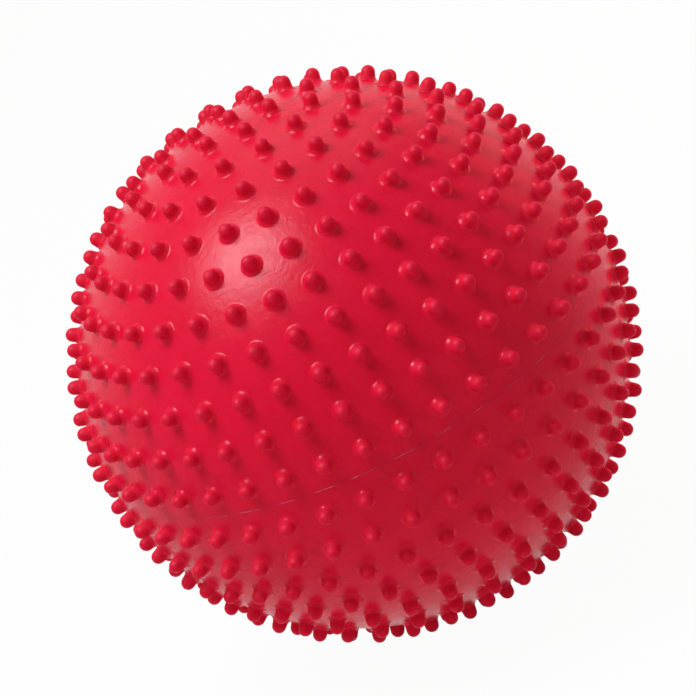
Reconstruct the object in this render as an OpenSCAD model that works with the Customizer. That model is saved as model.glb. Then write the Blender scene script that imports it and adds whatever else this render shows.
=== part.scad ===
// Sensory ball: a hollow, soft ball with rows of blunt nubs all over. Its skin
// is two half shells that meet at the seam round the middle, and an air valve
// sits at its lower pole. The origin is the centre of the ball. Z is the axis
// of the rows, and the lower pole, with the valve, is on the negative side.
//
// Sections are drawn as [radius, height], with the height measured from the
// middle of the ball towards a pole. The lower pieces are mirrored into place.

/* [Ball] */
// Diameter of the skin, without the nubs
skin_d = 218; // [190:0.2:300]
// Thickness of the skin
wall = 2; // [1.4:0.1:3]
// Rows of nubs between the seam and a pole, without the nub at the pole
rows = 10; // [6:1:11]
// Turn of the lower half's rows round the axis, in degrees
lower_turn = 81.2; // [0:0.1:360]

/* [Nub] */
// Height of a nub above the skin
nub_h = 6; // [5:0.1:8]
// Radius of a nub's round tip
tip_r = 2.8; // [2:0.05:3.2]
// Slope of a nub's side, in degrees
side_slope = 6; // [3:0.5:14]
// Radius of the rounded corner between a nub and the skin
fillet_r = 1.7; // [0.8:0.1:2]

/* [Seam] */
// Height of the thin ridge along the seam, above the skin
ridge_h = 0.3; // [0.2:0.05:0.6]
// Width of the ridge on each half
ridge_w = 0.2; // [0.15:0.05:0.5]
// Thickness that the welded rim adds inside the skin
rim_t = 1.2; // [0.6:0.1:2.5]
// Height of the welded rim on each half
rim_h = 3; // [1.5:0.1:6]

/* [Valve seat] */
// Radius of the thick boss round the valve, at its inner end
boss_r = 10; // [9:0.5:13]
// Depth of the boss, from the skin's outer face
boss_depth = 9; // [7:0.5:12]
// Radius of the seat's barrel
seat_r = 6; // [5.6:0.1:6.6]
// Radius of the seat's outer flange
flange_r = 8.5; // [7.5:0.1:9]
// Depth of the seat's outer flange, from the skin's outer face
flange_t = 1.4; // [1:0.1:2]
// Radius of the collar that holds the seat from inside
collar_r = 7.4; // [6.8:0.1:8]
// Thickness of the collar
collar_t = 1.5; // [1:0.1:2.5]
// Depth of the recess for the plug's head
recess_t = 1.1; // [0.8:0.1:1.5]

/* [Valve plug] */
// Radius of the plug's head
head_r = 4.8; // [4:0.1:5]
// Thickness of the plug's head
head_t = 1.6; // [1:0.1:2]
// Radius of the plug's stem
stem_r = 2.9; // [2.4:0.1:3.3]
// Length of the plug, from its outer face to its tip
plug_l = 14; // [11.5:0.5:16]
// Radius of the bore for an air needle
needle_r = 1.2; // [1:0.05:1.4]
// Depth of the bore for an air needle
needle_l = 9; // [6:0.5:10]

/* [Hidden] */
$fn = 96;
nub_fn = 32;

// The gaps round the seat's bond, the sliding stem and the plug's head
bond_gap = 0.05;
stem_gap = 0.05;
head_gap = 0.3;
// How far a cut runs past the face that it opens
overrun = 1;

skin_r = skin_d / 2;
inner_r = skin_r - wall;
root_depth = wall / 2;

// The first row stands a little over half a step from the seam, and the
// nub at the pole ends the series.
first_row_share = 10 / 17;
row_step = 90 / (rows + first_row_share);
// Each half's rows are counted from a meridian, which is at the front above
first_meridian = -90;

// A nub's side is a straight line that runs into the round tip above and into
// the fillet below. It crosses both arcs at a small angle, in degrees, so that
// neither joint is a bare touch. The fillet's centre is low enough for its arc
// to run out into the skin.
blend = 5;
fillet_rise_share = 0.8;
tip_z = nub_h - tip_r;
fillet_z = fillet_rise_share * fillet_r;
side_dir = [cos(side_slope), sin(side_slope)];
fillet_x = (cos(blend) * (tip_r + fillet_r) + (tip_z - fillet_z) * side_dir.y) / side_dir.x;
shoulder = [0, tip_z] + tip_r * cos(blend) * side_dir;
foot = [fillet_x, fillet_z] - fillet_r * cos(blend) * side_dir;
side_top_z = nub_h + overrun;
side_top_x = shoulder.x - (side_top_z - shoulder.y) * tan(side_slope);

// The boss widens towards the skin, and the plug's stem narrows at its tip
boss_spread_share = 0.3;
boss_root_r = boss_r + boss_spread_share * boss_depth;
stem_lead = stem_r / 3;
head_edge = head_t / 4;
plug_top = skin_r - recess_t + head_t;
head_base = plug_top - head_t;
plug_tip = plug_top - plug_l;

function row_angle(row) = first_row_share * row_step + row * row_step;
function row_count(row) = round(360 * cos(row_angle(row)) / row_step);

module nub_section() {
    difference() {
        polygon([
            [0, -root_depth],
            [fillet_x, -root_depth],
            [fillet_x, fillet_z],
            foot,
            [side_top_x, side_top_z],
            [0, side_top_z]
        ]);
        translate([fillet_x, fillet_z]) circle(r = fillet_r);
        // Everything above the shoulder that is outside the round tip
        difference() {
            translate([0, shoulder.y]) square([tip_r, tip_r + overrun]);
            translate([0, tip_z]) circle(r = tip_r);
        }
    }
}

module nub() {
    $fn = nub_fn;
    translate([0, 0, skin_r]) rotate_extrude() nub_section();
}

module nub_rows(meridian) {
    for (row = [0:rows - 1], k = [0:row_count(row) - 1])
        rotate([0, 90 - row_angle(row), meridian + 360 * k / row_count(row)]) nub();
}

// Half of the skin, with its share of the seam's ridge and of the welded rim
module shell_section() {
    difference() {
        intersection() {
            circle(r = skin_r);
            square([skin_r, skin_r]);
        }
        circle(r = inner_r);
    }
    translate([skin_r - root_depth, 0]) square([root_depth + ridge_h, ridge_w]);
    translate([inner_r, 0]) polygon([
        [-rim_t, 0],
        [root_depth, 0],
        [root_depth, rim_h + rim_t],
        [0, rim_h + rim_t],
        [-rim_t, rim_h]
    ]);
}

module boss_section() {
    intersection() {
        circle(r = skin_r);
        translate([0, skin_r - boss_depth]) polygon([
            [0, 0],
            [boss_r, 0],
            [boss_root_r, boss_depth],
            [0, boss_depth]
        ]);
    }
}

// The pocket in the boss, which the seat's barrel and flange fill
module pocket_section() {
    translate([0, skin_r - boss_depth - overrun])
        square([seat_r + bond_gap, boss_depth + 2 * overrun]);
    translate([0, skin_r - flange_t])
        square([flange_r + bond_gap, flange_t + overrun]);
}

module seat_section() {
    difference() {
        intersection() {
            circle(r = skin_r);
            union() {
                translate([0, skin_r - boss_depth - collar_t]) square([collar_r, collar_t]);
                translate([0, skin_r - boss_depth - collar_t])
                    square([seat_r, boss_depth + collar_t]);
                translate([0, skin_r - flange_t]) square([flange_r, flange_t]);
            }
        }
        translate([0, skin_r - boss_depth - collar_t - overrun])
            square([stem_r + stem_gap, boss_depth + collar_t + 2 * overrun]);
        translate([0, head_base]) square([head_r + head_gap, recess_t + overrun]);
    }
}

module plug_section() {
    difference() {
        polygon([
            [0, plug_tip],
            [stem_r - stem_lead, plug_tip],
            [stem_r, plug_tip + stem_lead],
            [stem_r, head_base],
            [head_r, head_base],
            [head_r, plug_top - head_edge],
            [head_r - head_edge, plug_top],
            [0, plug_top]
        ]);
        translate([0, plug_top - needle_l]) square([needle_r, needle_l + overrun]);
    }
}

module upper_shell() {
    color("crimson") {
        rotate_extrude() shell_section();
        nub_rows(first_meridian);
        nub();
    }
}

module lower_shell() {
    color("crimson") mirror([0, 0, 1]) {
        rotate_extrude() difference() {
            union() {
                shell_section();
                boss_section();
            }
            pocket_section();
        }
        nub_rows(first_meridian + lower_turn);
    }
}

module valve_seat() {
    color("mistyrose") mirror([0, 0, 1]) rotate_extrude() seat_section();
}

module valve_plug() {
    color("whitesmoke") mirror([0, 0, 1]) rotate_extrude() plug_section();
}

upper_shell();
lower_shell();
valve_seat();
valve_plug();
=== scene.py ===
import math
import random

import bpy
import numpy as np
from mathutils import Matrix, Vector, noise
from mathutils.geometry import delaunay_2d_cdt


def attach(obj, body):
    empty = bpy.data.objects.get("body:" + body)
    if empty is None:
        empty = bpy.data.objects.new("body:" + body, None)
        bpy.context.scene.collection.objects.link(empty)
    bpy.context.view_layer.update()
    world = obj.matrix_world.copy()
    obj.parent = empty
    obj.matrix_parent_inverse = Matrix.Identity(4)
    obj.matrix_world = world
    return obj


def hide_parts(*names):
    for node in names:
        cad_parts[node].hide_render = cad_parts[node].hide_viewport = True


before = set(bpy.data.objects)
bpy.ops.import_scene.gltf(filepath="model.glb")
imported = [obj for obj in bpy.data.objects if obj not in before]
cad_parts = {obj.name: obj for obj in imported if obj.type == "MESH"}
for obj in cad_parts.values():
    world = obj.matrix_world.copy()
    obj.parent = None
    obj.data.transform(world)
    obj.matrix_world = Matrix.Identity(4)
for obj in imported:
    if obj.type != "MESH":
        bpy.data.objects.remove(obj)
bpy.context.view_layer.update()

# Metres in a millimetre
MM = 0.001

# Sizes of the skin in millimetres, as in the frame
SKIN_R = 109.0
WALL = 2.0
INNER_R = SKIN_R - WALL
NUB_H = 6.0
TIP_R = 2.8
SIDE_SLOPE = math.radians(6.0)
RIDGE_H = 0.3
RIDGE_W = 0.2
RIM_T = 1.2
RIM_H = 3.0
RIM_R = INNER_R - RIM_T

# Rows of nubs on each half, in degrees
ROWS = 10
FIRST_ROW = 5.0
ROW_STEP = 8.5
FIRST_MERIDIAN = -90.0
LOWER_TURN = 81.2

# Sizes of the valve in millimetres, as in the frame
BOND_GAP = 0.05
STEM_GAP = 0.05
HEAD_GAP = 0.3
SEAT_R = 6.0
FLANGE_R = 8.5
FLANGE_T = 1.4
COLLAR_R = 7.4
COLLAR_T = 1.5
RECESS_T = 1.1
HEAD_R = 4.8
HEAD_T = 1.6
STEM_R = 2.9
STEM_LEAD = STEM_R / 3
PLUG_L = 14.0
NEEDLE_R = 1.2
NEEDLE_L = 9.0
BOSS_R = 10.0
BOSS_DEPTH = 9.0
BOSS_SPREAD_SHARE = 0.3
BOSS_ROOT_R = BOSS_R + BOSS_SPREAD_SHARE * BOSS_DEPTH
POCKET_R = FLANGE_R + BOND_GAP
HOLE_R = SEAT_R + BOND_GAP
SEAT_BORE_R = STEM_R + STEM_GAP
RECESS_R = HEAD_R + HEAD_GAP

# A nub's foot of two arcs and how far nubs lean and differ, which only the scene has
ROOT_R = 1.8
FLARE_R = 2.3
FLARE_TILT = math.radians(35.0)
NUB_LEAN = 0.22
NUB_STRETCH_SHARE = 0.012

# The parting line's dashes, which raise the lip and carry its painted highlight: their number,
# their place and half length in shares of their step, how steeply they end, and how strong they are,
# with the noise of each
SEAM_DASHES = 42
DASH_PHASE = 0.74
DASH_HALF = 0.3
DASH_HALF_VARIES = 0.2
DASH_STEEPNESS = 12
DASH_STRENGTH = 0.45
DASH_VARIES = 0.7
DASH_BREAKS = 0.5
FAINTEST_DASH = 0.08
LENGTH_SCALE = 9
STRENGTH_SCALE = 31
BREAK_SCALE = 130

# The parting line's lip, in shares of the ridge
LIP_LEAST_SHARE = 0.1
LIP_DASH_SHARE = 0.5
LIP_WIDTH_SHARE = 0.6

# Fineness of the meshes
NUB_SEGMENTS = 24
ROOT_STEPS = 4
FLARE_STEPS = 5
TIP_STEPS = 7
POLE_SEGMENTS = 96
SEAM_PER_POLE_SEGMENT = 6
SEAM_SEGMENTS = POLE_SEGMENTS * SEAM_PER_POLE_SEGMENT
INNER_STEPS = 22
CORNER_STEPS = 4
SHARP_ANGLE = math.radians(35)

# Points scattered on the skin: their spacing in millimetres, the area of each in
# squares of the spacing, and what they keep from nubs, border and pocket in spacings
SKIN_SPACING = 4.2
SKIN_POINT_AREA = 0.9
FROM_NUB = 0.3
FROM_BORDER = 0.5
FROM_POCKET = 0.4

# Tolerances of directions and of points in the triangulation
ON_AXIS = 1e-6
SAME_POINT = 1e-7

# The photograph's view: distance in skin radii, the skin's radius in pixels,
# the ball's centre in the picture, and the rows' axis in camera coordinates
IMAGE_PX = 696
VIEW_DISTANCE = 14.33
SKIN_PX = 274.5
CENTRE_PX = (354.4, 354.1)
AXIS_IN_VIEW = Vector((-0.4315, 0.8185, 0.3793)).normalized()
VIEW_MERIDIAN = 259.75

# The camera: its sensor's width in millimetres and how far it sees in metres
SENSOR_WIDTH = 36
VIEW_END = 50

# Light: distance of the lamps in metres, the world's strength and tint
LAMP_DISTANCE = 1.4
WORLD_STRENGTH = 0.305
WORLD_TINT = (1, 0.97, 0.75, 1)

# The floor: its level in millimetres, half its width in metres, its grey, and the
# share of white that camera and glossy rays see on it
FLOOR_Z = -113.77
FLOOR_HALF = 6
FLOOR_GREY = 0.75
WHITE_SHARE = 0.96

# How light scatters inside the red vinyl
RED_SCATTER = (1.0, 0.12, 0.18)

random.seed(7)


def view_axes():
    """The camera's right, up and back directions in the frame."""
    side = AXIS_IN_VIEW.cross(Vector((0, 0, 1))).normalized()
    away = AXIS_IN_VIEW.cross(side)
    in_view = Matrix((side, away, AXIS_IN_VIEW))
    turn = math.radians(VIEW_MERIDIAN + 90)
    side_here = Vector((math.cos(turn), math.sin(turn), 0))
    away_here = Vector((-math.sin(turn), math.cos(turn), 0))
    here = Matrix((side_here, away_here, Vector((0, 0, 1)))).transposed()
    return (here @ in_view).col


def add_camera():
    """The photograph's camera, set off sideways so that the ball's centre falls on its pixel."""
    right, up, back = view_axes()
    focal_px = SKIN_PX * math.sqrt(VIEW_DISTANCE**2 - 1)
    distance = VIEW_DISTANCE * SKIN_R * MM
    off_x = (CENTRE_PX[0] - IMAGE_PX / 2) / focal_px * distance
    off_y = (IMAGE_PX / 2 - CENTRE_PX[1]) / focal_px * distance
    data = bpy.data.cameras.new("camera")
    data.sensor_width = SENSOR_WIDTH
    data.lens = SENSOR_WIDTH * focal_px / IMAGE_PX
    data.clip_end = VIEW_END
    camera = bpy.data.objects.new("camera", data)
    turn = Matrix((right, up, back)).transposed().to_4x4()
    place = back * distance - right * off_x - up * off_y
    camera.matrix_world = Matrix.Translation(place) @ turn
    bpy.context.scene.collection.objects.link(camera)
    bpy.context.scene.camera = camera


def arc(centre, radius, start, end, steps):
    """Points of an arc with normals to its centre, or away from it if the radius is negative."""
    out = []
    for i in range(steps + 1):
        up = start + (end - start) * i / steps
        x = centre[0] - radius * math.cos(up)
        y = centre[1] - radius * math.sin(up)
        out.append((x, y, math.cos(up), math.sin(up)))
    return out


def nub_profile():
    """Points (radius, height from the ball's centre) and normals, root first.

    A small arc turns up from the skin to the flare, a wide arc goes on to the
    side, and the side touches the round tip.
    """
    tip_y = SKIN_R + NUB_H - TIP_R
    flare_up = math.pi / 2 - FLARE_TILT
    reach = TIP_R + FLARE_R + tip_y * math.sin(SIDE_SLOPE)
    reach -= (FLARE_R - ROOT_R) * math.cos(flare_up - SIDE_SLOPE)
    root_turn = math.asin(reach / (SKIN_R + ROOT_R)) - SIDE_SLOPE
    root_up = math.pi / 2 - root_turn
    root_x = (SKIN_R + ROOT_R) * math.cos(root_up)
    root_y = (SKIN_R + ROOT_R) * math.sin(root_up)
    flare_x = root_x + (FLARE_R - ROOT_R) * math.cos(flare_up)
    flare_y = root_y + (FLARE_R - ROOT_R) * math.sin(flare_up)
    root = arc((root_x, root_y), ROOT_R, root_up, flare_up, ROOT_STEPS)
    flare = arc((flare_x, flare_y), FLARE_R, flare_up, SIDE_SLOPE, FLARE_STEPS)
    tip = arc((0, tip_y), -TIP_R, SIDE_SLOPE, math.pi / 2, TIP_STEPS)
    return root + flare[1:] + tip


def nub_directions(meridian, pole):
    """Unit vectors of the nubs on the side of +Z."""
    out = []
    for row in range(ROWS):
        angle = FIRST_ROW + row * ROW_STEP
        level = math.cos(math.radians(angle))
        rise = math.sin(math.radians(angle))
        count = round(360 * level / ROW_STEP)
        for k in range(count):
            turn = math.radians(meridian + 360 * k / count)
            out.append(Vector((level * math.cos(turn), level * math.sin(turn), rise)))
    if pole:
        out.append(Vector((0, 0, 1)))
    return out


def flatten(v):
    """A direction on the side of +Z, drawn on the plane from the other pole."""
    return Vector((v.x, v.y)) / (1 + v.z)


def unflatten(p):
    """The direction that flatten draws at a point."""
    s = p.length_squared
    return Vector((2 * p.x, 2 * p.y, 1 - s)) / (1 + s)


class Builder:
    """Collects vertices with normals, and faces; a zero normal means automatic."""

    def __init__(self):
        self.points = []
        self.normals = []
        self.faces = []
        # For each vertex of the seam's lip, how strong its pale painted highlight is
        self.painted_highlight = {}

    def add(self, point, normal=(0, 0, 0)):
        self.points.append(tuple(point))
        self.normals.append(tuple(normal))
        return len(self.points) - 1

    def ring(self, radii, height):
        """A level ring with a point for each radius."""
        out = []
        for i, radius in enumerate(radii):
            a = 2 * math.pi * i / len(radii)
            out.append(self.add((radius * math.cos(a), radius * math.sin(a), height)))
        return out

    def round_ring(self, radius, height):
        return self.ring([radius] * POLE_SEGMENTS, height)

    def bridge(self, lower, upper):
        n = len(lower)
        for i in range(n):
            j = (i + 1) % n
            self.faces.append((lower[i], lower[j], upper[j], upper[i]))

    def fan(self, ring, apex):
        n = len(ring)
        for i in range(n):
            self.faces.append((ring[i], ring[(i + 1) % n], apex))

    def spread(self, coarse, fine):
        """Joins a ring to one with several times as many points."""
        n = len(coarse)
        k = len(fine) // n
        for i in range(n):
            j = (i + 1) % n
            for step in range(k):
                a = fine[i * k + step]
                b = fine[(i * k + step + 1) % len(fine)]
                self.faces.append((coarse[i], a, b))
            self.faces.append((coarse[i], fine[((i + 1) * k) % len(fine)], coarse[j]))

    def mesh(self, name, flip):
        """The mesh in metres; flip mirrors it to the side of -Z."""
        points = np.array(self.points) * MM
        normals = np.array(self.normals)
        faces = self.faces
        if flip:
            points[:, 2] *= -1
            normals[:, 2] *= -1
            faces = [tuple(reversed(f)) for f in faces]
        mesh = bpy.data.meshes.new(name)
        mesh.from_pydata(points.tolist(), [], faces)
        mesh.update()
        mesh.shade_smooth()
        mesh.set_sharp_from_angle(angle=SHARP_ANGLE)
        corner = np.zeros(len(mesh.loops), np.int32)
        mesh.loops.foreach_get("vertex_index", corner)
        mesh.normals_split_custom_set(normals[corner].tolist())
        # The seam's painted highlight goes into a point attribute for the skin's colour
        painted_highlight = np.zeros(len(mesh.vertices), np.float32)
        for index, amount in self.painted_highlight.items():
            painted_highlight[index] = amount
        mesh.attributes.new("painted_highlight", "FLOAT", "POINT").data.foreach_set("value", painted_highlight)
        return mesh


def scatter_skin(nubs, root_r, border_z, pocket_r):
    """Evenly spread directions on the skin, clear of the nubs and the edges."""
    spacing = SKIN_SPACING / SKIN_R
    count = int(2 * math.pi / (spacing * spacing * SKIN_POINT_AREA))
    axes = np.array([tuple(v) for v in nubs])
    limit = math.cos((root_r + FROM_NUB * SKIN_SPACING) / SKIN_R)
    lowest = border_z + FROM_BORDER * spacing
    highest = math.cos((pocket_r + FROM_POCKET * SKIN_SPACING) / SKIN_R)
    out = []
    golden = math.pi * (3 - math.sqrt(5))
    for i in range(count):
        z = 1 - (i + 0.5) / count
        if z < lowest or z > highest:
            continue
        r = math.sqrt(1 - z * z)
        v = Vector((r * math.cos(golden * i), r * math.sin(golden * i), z))
        if (axes @ np.array(v)).max() < limit:
            out.append(v)
    return out


def tangents(axis):
    """East and north at a direction."""
    east = Vector((0, 0, 1)).cross(axis)
    east = east.normalized() if east.length > ON_AXIS else Vector((1, 0, 0))
    return east, axis.cross(east)


def add_nub(build, axis, profile, root_ring):
    """Rings of points from the root ring to the tip, slightly bent and uneven."""
    east, north = tangents(axis)
    lean_turn = random.uniform(0, 2 * math.pi)
    lean = random.uniform(0, NUB_LEAN)
    lean_dir = (east * math.cos(lean_turn) + north * math.sin(lean_turn)) * lean
    stretch = 1 + random.uniform(-NUB_STRETCH_SHARE, NUB_STRETCH_SHARE)
    root_y = profile[0][1]
    previous = root_ring
    for x, y, nx, ny in profile[1:-1]:
        rise = (y - root_y) / NUB_H
        ring = []
        for i in range(NUB_SEGMENTS):
            a = 2 * math.pi * i / NUB_SEGMENTS
            out = east * math.cos(a) + north * math.sin(a)
            level = root_y + (y - root_y) * stretch
            point = axis * level + out * x + lean_dir * rise * rise
            ring.append(build.add(point, (out * nx + axis * ny).normalized()))
        build.bridge(previous, ring)
        previous = ring
    top = axis * (root_y + (profile[-1][1] - root_y) * stretch) + lean_dir
    build.fan(previous, build.add(top, axis))


def circle_round(axis, radius, count):
    """Directions of a circle on the skin round an axis."""
    east, north = tangents(axis)
    tilt = math.asin(radius / SKIN_R)
    out = []
    for i in range(count):
        a = 2 * math.pi * i / count
        ray = east * math.cos(a) + north * math.sin(a)
        out.append(axis * math.cos(tilt) + ray * math.sin(tilt))
    return out


def add_skin(build, nubs, root_r, pocket_r):
    """The outer skin: returns the border ring, the pocket's ring if any, and the nubs' root rings."""
    directions = []
    loops = []

    def add_loop(circle):
        loops.append(list(range(len(directions), len(directions) + len(circle))))
        directions.extend(circle)

    border_z = RIDGE_W / SKIN_R
    level = math.sqrt(1 - border_z**2)
    border = []
    for i in range(SEAM_SEGMENTS):
        a = 2 * math.pi * i / SEAM_SEGMENTS
        border.append(Vector((level * math.cos(a), level * math.sin(a), border_z)))
    add_loop(border)
    if pocket_r:
        add_loop(circle_round(Vector((0, 0, 1)), pocket_r, POLE_SEGMENTS))
    first_nub = len(loops)
    for axis in nubs:
        add_loop(circle_round(axis, root_r, NUB_SEGMENTS))
    directions.extend(scatter_skin(nubs, root_r, border_z, pocket_r))
    edges = []
    for loop in loops:
        edges += [(loop[i], loop[(i + 1) % len(loop)]) for i in range(len(loop))]
    flat = [flatten(v) for v in directions]
    verts, _, faces, origin, _, _ = delaunay_2d_cdt(flat, edges, [], 0, SAME_POINT)
    index = {old: new for new, olds in enumerate(origin) for old in olds}
    hole_of = {}
    for number, loop in enumerate(loops[1:]):
        for old in loop:
            hole_of[index[old]] = number
    ids = []
    for p in verts:
        v = unflatten(p)
        ids.append(build.add(v * SKIN_R, v))
    for face in faces:
        holes = {hole_of.get(i) for i in face}
        # A face with all its corners on one hole's edge would close that hole
        if len(holes) > 1 or None in holes:
            build.faces.append(tuple(ids[i] for i in face))
    rings = [[ids[index[old]] for old in loop] for loop in loops]
    return rings[0], rings[1:first_nub], rings[first_nub:]


def seam_dash(angle):
    """How strongly the parting line's lip stands up and is painted pale as a highlight: one dash for
    each nub of the first row.
    """
    along = angle / (2 * math.pi) * SEAM_DASHES - DASH_PHASE
    off = abs(along - math.floor(along) - 0.5)
    around = Vector((math.cos(angle), math.sin(angle), 0))
    half = DASH_HALF + DASH_HALF_VARIES * noise.noise(around * LENGTH_SCALE)
    strength = DASH_STRENGTH + DASH_VARIES * noise.noise(around * STRENGTH_SCALE)
    strength += DASH_BREAKS * noise.noise(around * BREAK_SCALE)
    inside = max(0, min(1, (half - off) * DASH_STEEPNESS))
    return inside * max(FAINTEST_DASH, min(1, strength))


def add_seam(build, border):
    """The parting line's lip and the face that meets the other half; returns the rim's ring."""
    dash_strengths = [seam_dash(2 * math.pi * i / SEAM_SEGMENTS) for i in range(SEAM_SEGMENTS)]
    radii = [SKIN_R + RIDGE_H * (LIP_LEAST_SHARE + LIP_DASH_SHARE * w) for w in dash_strengths]
    lip = build.ring(radii, RIDGE_W * LIP_WIDTH_SHARE)
    lip_end = build.ring(radii, 0)
    for ring in (lip, lip_end):
        # The lip gets a pale painted highlight as strong as its dash
        build.painted_highlight.update(zip(ring, dash_strengths, strict=True))
    rim = build.round_ring(RIM_R, 0)
    build.bridge(lip, border)
    build.bridge(lip_end, lip)
    build.spread(rim, lip_end)
    return rim


def inside_outline(valve):
    """Radii and heights of the inside, from the rim to the pole or round the boss."""
    out = [(RIM_R, RIM_H)]
    start = math.asin((RIM_H + RIM_T) / INNER_R)
    for i in range(INNER_STEPS):
        a = start + (math.pi / 2 - start) * i / INNER_STEPS
        out.append((INNER_R * math.cos(a), INNER_R * math.sin(a)))
    if not valve:
        return out
    return [point for point in out if point[0] >= BOSS_ROOT_R] + [
        (BOSS_ROOT_R, math.sqrt(INNER_R**2 - BOSS_ROOT_R**2)),
        (BOSS_R, SKIN_R - BOSS_DEPTH),
        (HOLE_R, SKIN_R - BOSS_DEPTH),
        (HOLE_R, SKIN_R - FLANGE_T),
        (POCKET_R, SKIN_R - FLANGE_T),
    ]


def half_shell(name, meridian, valve):
    """One half of the skin as a closed mesh with its nubs, at -Z where it has the valve."""
    build = Builder()
    nubs = nub_directions(meridian, not valve)
    profile = nub_profile()
    pocket_r = POCKET_R if valve else 0
    border, pocket_rings, roots = add_skin(build, nubs, profile[0][0], pocket_r)
    for axis, ring in zip(nubs, roots, strict=True):
        add_nub(build, axis, profile, ring)
    previous = add_seam(build, border)
    for radius, height in inside_outline(valve):
        ring = build.round_ring(radius, height)
        build.bridge(ring, previous)
        previous = ring
    if valve:
        build.bridge(pocket_rings[0], previous)
    else:
        build.fan(previous[::-1], build.add((0, 0, INNER_R)))
    return build.mesh(name, flip=valve)


def rounded(corners):
    """An outline from corners (radius, height, how far the corner is rounded off)."""
    out = []
    for i, (*corner, rounding) in enumerate(corners):
        here = Vector(corner)
        if not rounding:
            out.append(tuple(here))
            continue
        before = (Vector(corners[i - 1][:2]) - here).normalized()
        after = (Vector(corners[(i + 1) % len(corners)][:2]) - here).normalized()
        half = before.angle(after) / 2
        centre = here + (before + after).normalized() * rounding / math.sin(half)
        start = here + before * rounding / math.tan(half) - centre
        end = here + after * rounding / math.tan(half) - centre
        for step in range(CORNER_STEPS + 1):
            share = step / CORNER_STEPS
            arm = (start * (1 - share) + end * share).normalized() * rounding
            out.append(tuple(centre + arm))
    return out


def turned(name, outline, closed):
    """A turned solid at -Z from an outline that goes round it clockwise.

    The outline is closed, or it begins and ends on the axis.
    """
    build = Builder()
    rings = []
    for radius, height in outline:
        if radius > 0:
            rings.append(build.round_ring(radius, height))
        else:
            rings.append(build.add((0, 0, height)))
    pairs = list(zip(rings, rings[1:], strict=False))
    if closed:
        pairs.append((rings[-1], rings[0]))
    for first, second in pairs:
        if isinstance(first, list) and isinstance(second, list):
            build.bridge(second, first)
        elif isinstance(second, list):
            build.fan(second, first)
        else:
            build.fan(first[::-1], second)
    return build.mesh(name, flip=True)


def seat_mesh():
    """The moulded socket: flange, barrel, inside collar and the head's recess."""
    floor = SKIN_R - RECESS_T
    shelf = SKIN_R - FLANGE_T
    deep = SKIN_R - BOSS_DEPTH
    corners = [
        (SEAT_BORE_R, deep - COLLAR_T, 0.25),
        (SEAT_BORE_R, floor, 0.2),
        (RECESS_R, floor, 0.2),
        (RECESS_R, math.sqrt(SKIN_R**2 - RECESS_R**2), 0.22),
        (FLANGE_R, math.sqrt(SKIN_R**2 - FLANGE_R**2), 0.3),
        (FLANGE_R, shelf, 0.1),
        (SEAT_R, shelf, 0.15),
        (SEAT_R, deep, 0.2),
        (COLLAR_R, deep, 0.4),
        (COLLAR_R, deep - COLLAR_T, 0.4),
    ]
    return turned("valve_socket", rounded(corners), closed=True)


def plug_mesh():
    """The push-in plug with its blind hole for a needle."""
    top = SKIN_R - RECESS_T + HEAD_T
    tip = top - PLUG_L
    corners = [
        (0, top - NEEDLE_L, 0),
        (NEEDLE_R, top - NEEDLE_L, 0.3),
        (NEEDLE_R, top, 0.3),
        (HEAD_R, top, 0.5),
        (HEAD_R, top - HEAD_T, 0.2),
        (STEM_R, top - HEAD_T, 0.2),
        (STEM_R, tip + STEM_LEAD, 0.4),
        (STEM_R - STEM_LEAD, tip, 0.4),
        (0, tip, 0),
    ]
    return turned("valve_stopper", rounded(corners), closed=False)


def place(mesh, material, body, slot, *replaced):
    """Adds a piece that rides on a body and is seen instead of a solid."""
    mesh.materials.append(material)
    piece = bpy.data.objects.new(mesh.name, mesh)
    bpy.context.scene.collection.objects.link(piece)
    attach(piece, body)
    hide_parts(*replaced)


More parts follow.
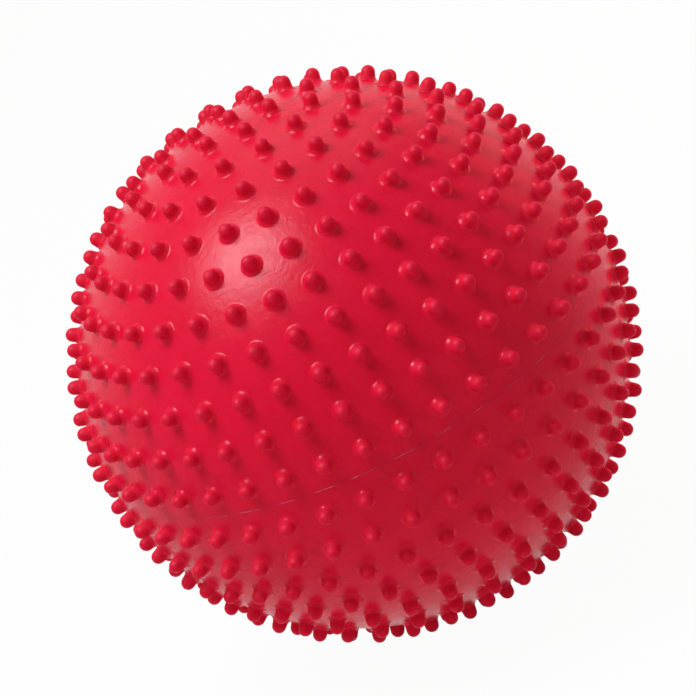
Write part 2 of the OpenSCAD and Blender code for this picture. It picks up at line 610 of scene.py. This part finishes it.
class Graph:
    """Short ways to add nodes to one material."""

    def __init__(self, name):
        self.material = bpy.data.materials.new(name)
        self.material.use_nodes = True
        self.nodes = self.material.node_tree.nodes
        self.links = self.material.node_tree.links
        self.shader = self.nodes["Principled BSDF"]
        self.place = self.nodes.new("ShaderNodeTexCoord").outputs["Object"]

    def set(self, **values):
        for name, value in values.items():
            self.shader.inputs[name.replace("_", " ")].default_value = value

    def feed(self, socket, value):
        if isinstance(value, bpy.types.NodeSocket):
            self.links.new(value, socket)
        else:
            socket.default_value = value

    def noise(self, scale, detail, distortion=0.0, at=None):
        node = self.nodes.new("ShaderNodeTexNoise")
        node.inputs["Scale"].default_value = scale
        node.inputs["Detail"].default_value = detail
        node.inputs["Distortion"].default_value = distortion
        self.links.new(at or self.place, node.inputs["Vector"])
        return node.outputs["Fac"]

    def ramp(self, value, low, high, to_low=0.0, to_high=1.0, kind="LINEAR"):
        node = self.nodes.new("ShaderNodeMapRange")
        node.interpolation_type = kind
        node.inputs["From Min"].default_value = low
        node.inputs["From Max"].default_value = high
        node.inputs["To Min"].default_value = to_low
        node.inputs["To Max"].default_value = to_high
        self.links.new(value, node.inputs["Value"])
        return node.outputs["Result"]

    def calc(self, operation, first, second=0.0):
        node = self.nodes.new("ShaderNodeMath")
        node.operation = operation
        self.feed(node.inputs[0], first)
        self.feed(node.inputs[1], second)
        return node.outputs[0]

    def mix(self, factor, first, second):
        node = self.nodes.new("ShaderNodeMix")
        self.feed(node.inputs["Factor"], factor)
        self.feed(node.inputs["A"], first)
        self.feed(node.inputs["B"], second)
        return node.outputs["Result"]

    def mix_color(self, factor, first, second):
        node = self.nodes.new("ShaderNodeMix")
        node.data_type = "RGBA"
        self.feed(node.inputs["Factor"], factor)
        first_socket, second_socket = [s for s in node.inputs if s.type == "RGBA"]
        self.feed(first_socket, first)
        self.feed(second_socket, second)
        return [s for s in node.outputs if s.type == "RGBA"][0]

    def length(self, vector):
        node = self.nodes.new("ShaderNodeVectorMath")
        node.operation = "LENGTH"
        self.links.new(vector, node.inputs[0])
        return node.outputs["Value"]

    def stretched(self, scale, turn=(0, 0, 0)):
        node = self.nodes.new("ShaderNodeMapping")
        node.inputs["Scale"].default_value = scale
        node.inputs["Rotation"].default_value = turn
        self.links.new(self.place, node.inputs["Vector"])
        return node.outputs[0]

    def from_axis(self):
        """The distance from the ball's axis."""
        return self.length(self.stretched((1, 1, 0)))

    def bump(self, height, strength, distance):
        node = self.nodes.new("ShaderNodeBump")
        self.feed(node.inputs["Strength"], strength)
        node.inputs["Distance"].default_value = distance
        self.links.new(height, node.inputs["Height"])
        self.links.new(node.outputs["Normal"], self.shader.inputs["Normal"])

    def use(self, name, value):
        self.links.new(value, self.shader.inputs[name])


def skin_material():
    """Satin vinyl, glossiest at the nubs' feet and duller on the nubs, with painted shade darkening the
    nubs' red and a pale painted highlight along the seam's lip.
    """
    red, light_red = (0.72, 0.0045, 0.037, 1), (0.77, 0.006, 0.042, 1)
    # Painted shade: a darker red than the skin's for the nubs
    shaded_nub_red = (0.69, 0.0065, 0.042, 1)
    streak_red = (0.55, 0.002, 0.02, 1)
    highlight_pink = (0.82, 0.13, 0.19, 1)
    g = Graph("soft_red_skin")
    g.set(
        Specular_IOR_Level=0.08,
        Subsurface_Weight=0.35,
        Subsurface_Radius=RED_SCATTER,
        Subsurface_Scale=0.004,
    )
    from_centre = g.length(g.place)

    def above_skin(low, high, kind="LINEAR"):
        """From 0 to 1 between two heights over the skin in millimetres."""
        return g.ramp(from_centre, (SKIN_R + low) * MM, (SKIN_R + high) * MM, kind=kind)

    nub = above_skin(0.9, 1.5, "SMOOTHSTEP")
    dome = above_skin(2.6, 3.6, "SMOOTHSTEP")
    cloud = g.noise(scale=18, detail=3, distortion=0.4)
    smudge = g.noise(scale=70, detail=5, distortion=1.5)
    grain = g.noise(scale=1500, detail=2)
    pores = g.noise(scale=5200, detail=1)

    tone = g.mix_color(g.ramp(cloud, 0.35, 0.65), red, light_red)
    # Painted shade: the nubs above their feet take the darker red
    tone = g.mix_color(nub, tone, shaded_nub_red)
    along = g.stretched((1, 1, 9), (0.9, 0.5, 0))
    streaks = g.noise(scale=60, detail=2, distortion=0.3, at=along)
    streak = g.calc("MULTIPLY", g.ramp(streaks, 0.68, 0.76), g.calc("SUBTRACT", 1, nub))
    tone = g.mix_color(g.calc("MULTIPLY", streak, 0.45), tone, streak_red)
    # Pale pink painted along the seam's lip as a highlight, where the ridge would catch the light
    painted_highlight = g.nodes.new("ShaderNodeAttribute")
    painted_highlight.attribute_name = "painted_highlight"
    g.use("Base Color", g.mix_color(painted_highlight.outputs["Fac"], tone, highlight_pink))

    skin_gloss = g.ramp(smudge, 0.3, 0.7, to_low=0.24, to_high=0.36)
    skin_gloss = g.calc("ADD", skin_gloss, g.calc("MULTIPLY", streak, 0.12))
    skin_gloss = g.mix(above_skin(0.02, 0.15), skin_gloss, 0.17)
    dome_gloss = g.ramp(grain, 0.3, 0.7, to_low=0.38, to_high=0.58)
    g.use("Roughness", g.mix(nub, skin_gloss, g.mix(dome, 0.7, dome_gloss)))

    relief = g.calc("ADD", g.calc("MULTIPLY", grain, 0.7), g.calc("MULTIPLY", pores, 0.3))
    ripples = g.noise(scale=330, detail=2, distortion=0.6)
    waves = g.calc("MULTIPLY", ripples, g.ramp(nub, 0, 1, to_low=2.8, to_high=0.0))
    strength = g.ramp(nub, 0, 1, to_low=0.35, to_high=1.0)
    g.bump(g.calc("ADD", relief, waves), strength, distance=0.00014)
    return g.material


def seat_material():
    """The skin's vinyl, moulded thicker and duller, with faint turning marks."""
    red, light_red = (0.6, 0.003, 0.024, 1), (0.69, 0.004, 0.032, 1)
    radians_per_metre = 14000
    g = Graph("dull_red_socket")
    g.set(
        Specular_IOR_Level=0.15,
        Subsurface_Weight=0.08,
        Subsurface_Radius=RED_SCATTER,
        Subsurface_Scale=0.003,
    )
    cloud = g.noise(scale=260, detail=3, distortion=0.5)
    grain = g.noise(scale=2600, detail=2)
    g.use("Base Color", g.mix_color(g.ramp(cloud, 0.35, 0.65), red, light_red))
    g.use("Roughness", g.ramp(grain, 0.3, 0.7, to_low=0.48, to_high=0.62))
    marks = g.calc("SINE", g.calc("MULTIPLY", g.from_axis(), radians_per_metre))
    relief = g.calc("ADD", grain, g.calc("MULTIPLY", marks, 0.12))
    g.bump(relief, strength=0.5, distance=0.00006)
    return g.material


def plug_material():
    """Off-white rubber, a little yellowed, with dust round the needle's hole."""
    cream, light_cream = (0.74, 0.71, 0.62, 1), (0.8, 0.78, 0.71, 1)
    dust_brown = (0.42, 0.36, 0.3, 1)
    speck_brown = (0.45, 0.38, 0.32, 1)
    dust_r = 2.3
    g = Graph("off_white_plug")
    g.set(
        Specular_IOR_Level=0.3,
        Subsurface_Weight=0.1,
        Subsurface_Radius=(1.0, 0.8, 0.6),
        Subsurface_Scale=0.002,
    )
    cloud = g.noise(scale=420, detail=4, distortion=0.6)
    grain = g.noise(scale=3600, detail=2)
    specks = g.ramp(g.noise(scale=1900, detail=1), 0.7, 0.76)
    tone = g.mix_color(g.ramp(cloud, 0.35, 0.65), cream, light_cream)
    near_hole = g.ramp(g.from_axis(), NEEDLE_R * MM, dust_r * MM, to_low=0.5, to_high=0.0)
    dust = g.calc("MULTIPLY", near_hole, g.ramp(cloud, 0.3, 0.6))
    tone = g.mix_color(dust, tone, dust_brown)
    tone = g.mix_color(g.calc("MULTIPLY", specks, 0.5), tone, speck_brown)
    g.use("Base Color", tone)
    g.use("Roughness", g.ramp(grain, 0.3, 0.7, to_low=0.5, to_high=0.66))
    relief = g.calc("ADD", grain, g.calc("MULTIPLY", cloud, 0.6))
    g.bump(relief, strength=0.5, distance=0.00008)
    return g.material


def add_lamp(name, way, size, power, color=(1, 1, 1), lights="all"):
    """A round lamp; way is its direction to the right, up and back in the photograph's view.

    It lights all, only the gloss, or all but the gloss.
    """
    right, up, back = view_axes()
    direction = right * way[0] + up * way[1] + back * way[2]
    data = bpy.data.lights.new(name, "AREA")
    data.shape = "DISK"
    data.size = size
    data.energy = power
    data.color = color
    lamp = bpy.data.objects.new(name, data)
    turn = direction.to_track_quat("Z", "Y").to_matrix().to_4x4()
    lamp.matrix_world = Matrix.Translation(direction.normalized() * LAMP_DISTANCE) @ turn
    lamp.visible_diffuse = lights != "gloss"
    lamp.visible_glossy = lights != "all but gloss"
    bpy.context.scene.collection.objects.link(lamp)


def add_lamps():
    """The photograph's key light from the upper left, its broad gloss, and soft light for the shade."""
    key_way = (-0.65, 0.58, 0.5)
    top_way = (-0.22, 0.98, -0.07)
    rim_way = (0.56, 0.7, -0.44)
    fill_way = (-0.56, -0.67, 0.49)
    low_way = (0.62, -0.02, 0.78)
    matt = "all but gloss"
    add_lamp("key", key_way, size=0.85, power=14.6, color=(1.0, 0.95, 1.15))
    add_lamp("sheen", key_way, size=0.75, power=38, lights="gloss")
    add_lamp("top", top_way, size=1.1, power=6, lights="gloss")
    add_lamp("rim", rim_way, size=0.7, power=10.5, color=(1, 1, 0.85), lights=matt)
    add_lamp("fill", fill_way, size=0.9, power=4, color=(1, 1, 0.9), lights=matt)
    add_lamp("low", low_way, size=0.6, power=0.8, color=(1, 1.05, 0.85), lights=matt)


def seen_directly(tree):
    """One for camera, glossy and transmission rays, otherwise zero."""
    path = tree.nodes.new("ShaderNodeLightPath")
    found = path.outputs["Is Camera Ray"]
    for name in ("Is Glossy Ray", "Is Transmission Ray"):
        either = tree.nodes.new("ShaderNodeMath")
        either.operation = "MAXIMUM"
        tree.links.new(found, either.inputs[0])
        tree.links.new(path.outputs[name], either.inputs[1])
        found = either.outputs[0]
    return found


def white_when_seen(tree, surface):
    """Mixes plain white into a surface for camera, glossy and transmission rays."""
    nodes, links = tree.nodes, tree.links
    white = nodes.new("ShaderNodeEmission")
    white.inputs["Strength"].default_value = 1.0
    mix = nodes.new("ShaderNodeMixShader")
    scale = nodes.new("ShaderNodeMath")
    scale.operation = "MULTIPLY"
    scale.inputs[1].default_value = WHITE_SHARE
    links.new(seen_directly(tree), scale.inputs[0])
    links.new(scale.outputs[0], mix.inputs[0])
    links.new(surface, mix.inputs[1])
    links.new(white.outputs[0], mix.inputs[2])
    return mix.outputs[0]


def floor_material():
    """Matt grey that looks nearly white from above and is clear from below."""
    material = bpy.data.materials.new("floor_white")
    material.use_nodes = True
    tree = material.node_tree
    shader = tree.nodes["Principled BSDF"]
    shader.inputs["Base Color"].default_value = (FLOOR_GREY, FLOOR_GREY, FLOOR_GREY, 1)
    shader.inputs["Roughness"].default_value = 0.9
    shader.inputs["Specular IOR Level"].default_value = 0.1
    white = white_when_seen(tree, shader.outputs[0])
    clear = tree.nodes.new("ShaderNodeBsdfTransparent")
    sided = tree.nodes.new("ShaderNodeMixShader")
    facing = tree.nodes.new("ShaderNodeNewGeometry")
    tree.links.new(facing.outputs["Backfacing"], sided.inputs[0])
    tree.links.new(white, sided.inputs[1])
    tree.links.new(clear.outputs[0], sided.inputs[2])
    tree.links.new(sided.outputs[0], tree.nodes["Material Output"].inputs[0])
    return material


def add_floor():
    """A wide square just under the lowest nubs."""
    level = FLOOR_Z * MM
    sides = ((-1, -1), (1, -1), (1, 1), (-1, 1))
    corners = [(x * FLOOR_HALF, y * FLOOR_HALF, level) for x, y in sides]
    mesh = bpy.data.meshes.new("floor")
    mesh.from_pydata(corners, [], [(0, 1, 2, 3)])
    mesh.materials.append(floor_material())
    floor = bpy.data.objects.new("floor", mesh)
    bpy.context.scene.collection.objects.link(floor)


def add_world():
    """A tinted even light from all round that looks plain white."""
    world = bpy.data.worlds.new("studio")
    bpy.context.scene.world = world
    world.use_nodes = True
    nodes, links = world.node_tree.nodes, world.node_tree.links
    background = nodes["Background"]
    seen = seen_directly(world.node_tree)
    strength = nodes.new("ShaderNodeMapRange")
    strength.inputs["To Min"].default_value = WORLD_STRENGTH
    strength.inputs["To Max"].default_value = 1.0
    links.new(seen, strength.inputs["Value"])
    links.new(strength.outputs[0], background.inputs["Strength"])
    tint = nodes.new("ShaderNodeMix")
    tint.data_type = "RGBA"
    first, second = [s for s in tint.inputs if s.type == "RGBA"]
    first.default_value = WORLD_TINT
    second.default_value = (1, 1, 1, 1)
    links.new(seen, tint.inputs["Factor"])
    links.new([s for s in tint.outputs if s.type == "RGBA"][0], background.inputs["Color"])


skin = skin_material()
upper = half_shell("skin_upper", FIRST_MERIDIAN, valve=False)
lower = half_shell("skin_lower", FIRST_MERIDIAN + LOWER_TURN, valve=True)
place(upper, skin, "ball", "skin", "upper_shell")
place(lower, skin, "ball", "skin", "lower_shell")
place(seat_mesh(), seat_material(), "ball", "seat", "valve_seat")
place(plug_mesh(), plug_material(), "plug", "plug", "valve_plug")

add_camera()
add_lamps()
add_floor()
add_world()
bpy.context.scene.view_settings.view_transform = "Standard"
